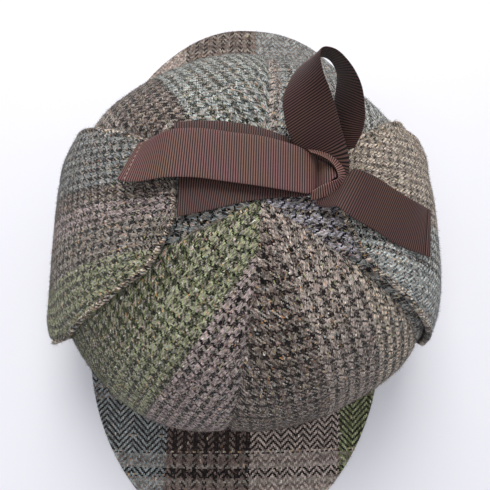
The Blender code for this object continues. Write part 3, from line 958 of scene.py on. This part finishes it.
GROSGRAINS = {
    # crests (painted light on the ribs), warm and plum; grooves (painted shade)
    "": ((121, 90, 75), (126, 86, 88), (18, 9, 8)),
    # painted shade: a darker copy of the grosgrain, for the tie under the left tail, both loops,
    # the knot's under turn and every ribbon's inner face
    "_painted_shade": ((98, 70, 60), (96, 66, 64), (4, 2, 2)),
    "_pressed_end": ((126, 101, 85), (134, 93, 93), (18, 9, 8), PRESSED),
    # painted light: a lighter copy of the grosgrain, for the knot's collar
    "_painted_light": ((150, 114, 100), (150, 108, 106), (36, 22, 20)),
}
grosgrain = {name: ribbon_material("grosgrain" + name, *look)
             for name, look in GROSGRAINS.items()}
thread = thread_material()


# %% Ribbon shapes
def smooth_rows(rows, count):
    """A smooth curve through the rows of a table."""
    rows = np.asarray(rows, float)
    padded = np.vstack([2 * rows[0] - rows[1], rows, 2 * rows[-1] - rows[-2]])
    t = np.linspace(0, len(rows) - 1, count)
    i = np.minimum(t.astype(int), len(rows) - 2)
    return curve_through(*(padded[i + k] for k in range(4)), (t - i)[:, None])


def ribbon_grid(rows):
    """Points of a ribbon's middle layer, four rows to a rib. A slant is a table's 8th column."""
    rows = np.asarray(rows, float)
    line = smooth_rows(np.pad(rows, ((0, 0), (0, 8 - rows.shape[1]))), 2000)
    run = lengths_along(line[:, :3], 0)
    along = np.arange(0, run[-1], RIB_PITCH / 4)
    across = np.array([-1, -0.97, -0.85, -0.6, -0.3, 0, 0.3, 0.6, 0.85, 0.97, 1]) / 2
    width = np.interp(along, run, line[:, 6])
    offset = across[None, :] * width[:, None]
    ease = smooth(np.minimum(along, run[-1] - along) / 12.0) * np.interp(along, run, line[:, 7])
    place = along[:, None] + ease[:, None] * offset
    row = np.stack([np.interp(place, run, line[:, k]) for k in range(6)], axis=-1)
    return row[..., :3] + unit(row[..., 3:]) * offset[..., None], along, across, offset, run[-1]


THREAD_SIDE, RIB_RISE = 0.15, 0.20  # half its thickness in a groove, and what a rib adds
HEM_ADDS = 0.25  # half of what a turned hem adds


def ribbon_wall(name, grid, along, across, offset, face, back=None, hem=0.0, pressed=None):
    """A ribbon's wall: ribs across it, thin woven edges and perhaps a turned hem."""
    normal = grid_normals(grid)
    side = np.clip((0.5 - np.abs(across)) * 2 / 0.12, 0, 1)
    rib = 0.5 + 0.5 * np.sin(along * 2 * math.pi / RIB_PITCH)
    if pressed:
        rib = rib + (0.5 - rib) * smooth((along - pressed[0]) / (pressed[1] - pressed[0]))
    half = THREAD_SIDE + RIB_RISE * rib[:, None] * smooth(side)[None, :]
    half = half * np.where(np.abs(across) == 0.5, 0.5, 1.0)[None, :]
    if hem:
        left = along[-1] - along[:, None]
        half = half + HEM_ADDS * (left < hem) - 0.16 * np.exp(-((left - hem) / 0.35) ** 2)
        half = np.clip(half, 0.06, 1.0) * edge_round(half.shape, left + 0.05, 0.5)
    outer = grid + normal * half[..., None]
    inner = grid - normal * half[..., None]
    cloth_x = np.broadcast_to(along[:, None], offset.shape)
    piece = add_wall(name, outer, inner, cloth_x, offset, face, back)
    return piece, outer, normal


def stitch_row(name, points, normals, length=1.5, gap=0.9, wide=0.65):
    """A row of sewn stitches along a line of points, each a small rounded bar."""
    run = lengths_along(points, 0)
    starts = np.arange(0.7, run[-1] - length - 0.4, length + gap)
    share, swell = np.array([0, 0.25, 0.75, 1]), np.array([0, 1, 1, 0])[:, None, None]
    at = starts[:, None] + share * length
    point, up = (np.stack([np.interp(at, run, row[:, k]) for k in range(3)], -1)[:, :, None]
                 for row in (points, normals))
    out = np.cross(unit(points[-1] - points[0]), up)
    side, lift = np.array([-1, 0, 1])[:, None], np.array([0, 0.32, 0])[:, None]
    spots = (point + out * side * wide / 2 * (0.35 + 0.65 * swell)
             + up * (lift * swell + 0.02)).reshape(-1, 3)
    faces = [(a, a + 3, a + 4, a + 1) for first in range(0, len(spots), 12)
             for a in (first, first + 1, first + 3, first + 4, first + 6, first + 7)]
    mesh = bpy.data.meshes.new(name)
    mesh.from_pydata((spots * MM).tolist(), [], faces)
    add_piece(name, mesh, thread)


def make_ribbon(name, rows, held, hem, side):
    """One stretch of ribbon, with its row of stitches if its end is hemmed."""
    grid, along, across, offset, run = ribbon_grid(rows)
    pressed = PRESSED if side == "_pressed_end" else None
    piece, outer, normal = ribbon_wall(name + "_ribbon", grid, along, across, offset,
                                       # every ribbon's inner face takes the darker grosgrain, which
                                       # is painted shade
                                       grosgrain[side], grosgrain["_painted_shade"], hem, pressed)
    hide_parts(name)
    if hem:
        at = int(np.argmin(np.abs(along[-1] - along - hem)))
        stitch_row(name + "_stitches", outer[at], normal[at])


for name, stretch in RIBBONS.items():
    make_ribbon(name, *stretch)
print("ribbons:", len(RIBBONS))


# %% [markdown]
# ## The knot
#
# Where the bow is tied, the ribbon goes round on its edge like a collar. Inside it a second
# turn shows as a pointed fold, and a third lies flat under both. All three are given by their
# two edges. The collar's grosgrain is lighter, which is painted light; the turn under both
# has a darker one, which is painted shade.

# %% The knot
KNOT_COLLAR = (
    # x, y, z of the top edge, then of the foot
    (27.2, 17.8, 142.3, 25.9, 20.8, 138.5),
    (30.9, 16.2, 143, 30.5, 20.9, 139),
    (34.1, 14.2, 143.4, 35.2, 19.6, 139.3),
    (36.2, 12, 143.4, 39.4, 16.4, 139.2),
    (37.7, 9.1, 143, 42.3, 11.9, 138.4),
    (38, 6.9, 142.5, 41.2, 6.2, 136.8),
    (35.5, 5.9, 141.5, 37.3, 2.6, 136.8),
    (31.5, 4.2, 140.5, 32.5, 0.5, 136.6),
    (28, 2.3, 139.5, 27.8, -0.8, 136.4),
)
KNOT_FOLD = (
    # x, y, z of one edge, then of the other
    (28, 18.6, 134.2, 28.4, 1.2, 134.2),
    (30.6, 17.6, 135.2, 30.4, 2.2, 136),
    (32.6, 15.8, 137.6, 32.4, 3.8, 139.4),
    (34.6, 13.8, 139.4, 34.6, 5.6, 141),
    (36.4, 11.8, 140.6, 36.6, 7.2, 141.6),
    (37.9, 9.6, 140.6, 37.9, 8, 141),
)
KNOT_BACK = (
    # x, y, z of one edge, then of the other
    (27.6, 20.2, 134, 27.6, 3, 134),
    (31, 20.4, 134.2, 31, 4, 134.2),
    (35, 18.6, 134.6, 35, 5, 134.6),
    (38.5, 15, 135, 38.5, 6, 135),
    (40.4, 11.5, 135.2, 40.4, 7, 135.2),
)


def between_edges(edges):
    """A ribbon's table from its two edges."""
    edges = np.asarray(edges, float)
    first, second = edges[:, :3], edges[:, 3:]
    width = np.linalg.norm(second - first, axis=1, keepdims=True)
    return np.hstack([(first + second) / 2, unit(second - first), width])


KNOT = {
    # name: edges, width of the gathered ribbon in m, grosgrain
    # the collar wears the lighter grosgrain, which is painted light
    "knot_collar": (KNOT_COLLAR, 0.011, "_painted_light"),
    "knot_fold": (KNOT_FOLD, 0.014, ""),
    # the under turn wears the darker grosgrain: painted shade where the knot's inside lies in shade
    "knot_back": (KNOT_BACK, 0.014, "_painted_shade"),
}


def make_knot(name, edges, cut_width, side):
    """One turn of the knot."""
    grid, along, across, offset, run = ribbon_grid(between_edges(edges))
    grid = grid[:, ::-1]
    piece = ribbon_wall(name, grid, along, across, offset, grosgrain[side])[0]
    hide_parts("bow_knot")


for name, turn in KNOT.items():
    make_knot(name, *turn)
print("knot pieces:", len(KNOT))


# %% [markdown]
# ## Table, light and camera
#
# The hat stands on a pale table and is seen from close above, the near peak at the bottom of
# the view. Broad soft lamps leave only a faint shadow, as in a light tent.

# %% Table
bpy.ops.mesh.primitive_plane_add(size=4.0, location=(0, 0, 0))
table = bpy.context.object
table.name = "table"
pale = {"Roughness": 0.6, "Base Color": paint(232, 231, 237)}
table.data.materials.append(new_material("table_top", pale)[0])

# %% Lights
def softbox(name, place, aim, size, power, colour):
    """A square lamp that faces a point."""
    lamp = bpy.data.lights.new(name, "AREA")
    lamp.size = size
    lamp.energy = power
    lamp.color = colour
    item = put(name, lamp)
    item.location = place
    item.rotation_euler = (Vector(aim) - Vector(place)).to_track_quat("-Z", "Y").to_euler()


softbox("key_lamp", (-0.05, 0.85, 1.05), (0, 0, 0.08), 0.8, 14.0, (1.0, 0.99, 0.97))
softbox("fill_lamp", (-0.2, -0.5, 1.3), (0, 0, 0.05), 0.9, 3.0, (0.97, 0.98, 1.0))
world = bpy.data.worlds.new("light_tent")
world.use_nodes = True
tent = world.node_tree
sky = add_node(tent, "TexCoord").outputs["Generated"]
upward = add_node(tent, "SeparateXYZ", {0: sky}).outputs[2]
strength = calc(tent, "MAXIMUM", calc(tent, "MULTIPLY_ADD", upward, 0.42, 0.28), 0.2)
background = tent.nodes["Background"]
wire(tent, background.inputs[0], (0.93, 0.95, 1.0, 1.0))
wire(tent, background.inputs[1], strength)
bpy.context.scene.world = world
bpy.context.scene.view_settings.view_transform = "Standard"

# %% Camera
CAMERA_AT = (2.2, -65.67, 332.09)
CAMERA_RIGHT = (0.99935, 0.03568, 0.00537)
CAMERA_UP = (-0.03598, 0.97376, 0.22471)
CAMERA_BACK = (0.00279, -0.22476, 0.97441)
lens = bpy.data.cameras.new("camera")
lens.sensor_width = 36.0
lens.lens = 36.82
lens.clip_start = 0.01
camera = put("camera", lens)
stand = Matrix((CAMERA_RIGHT, CAMERA_UP, CAMERA_BACK)).transposed().to_4x4()
stand.translation = [c * MM for c in CAMERA_AT]
camera.matrix_world = stand
bpy.context.scene.camera = camera
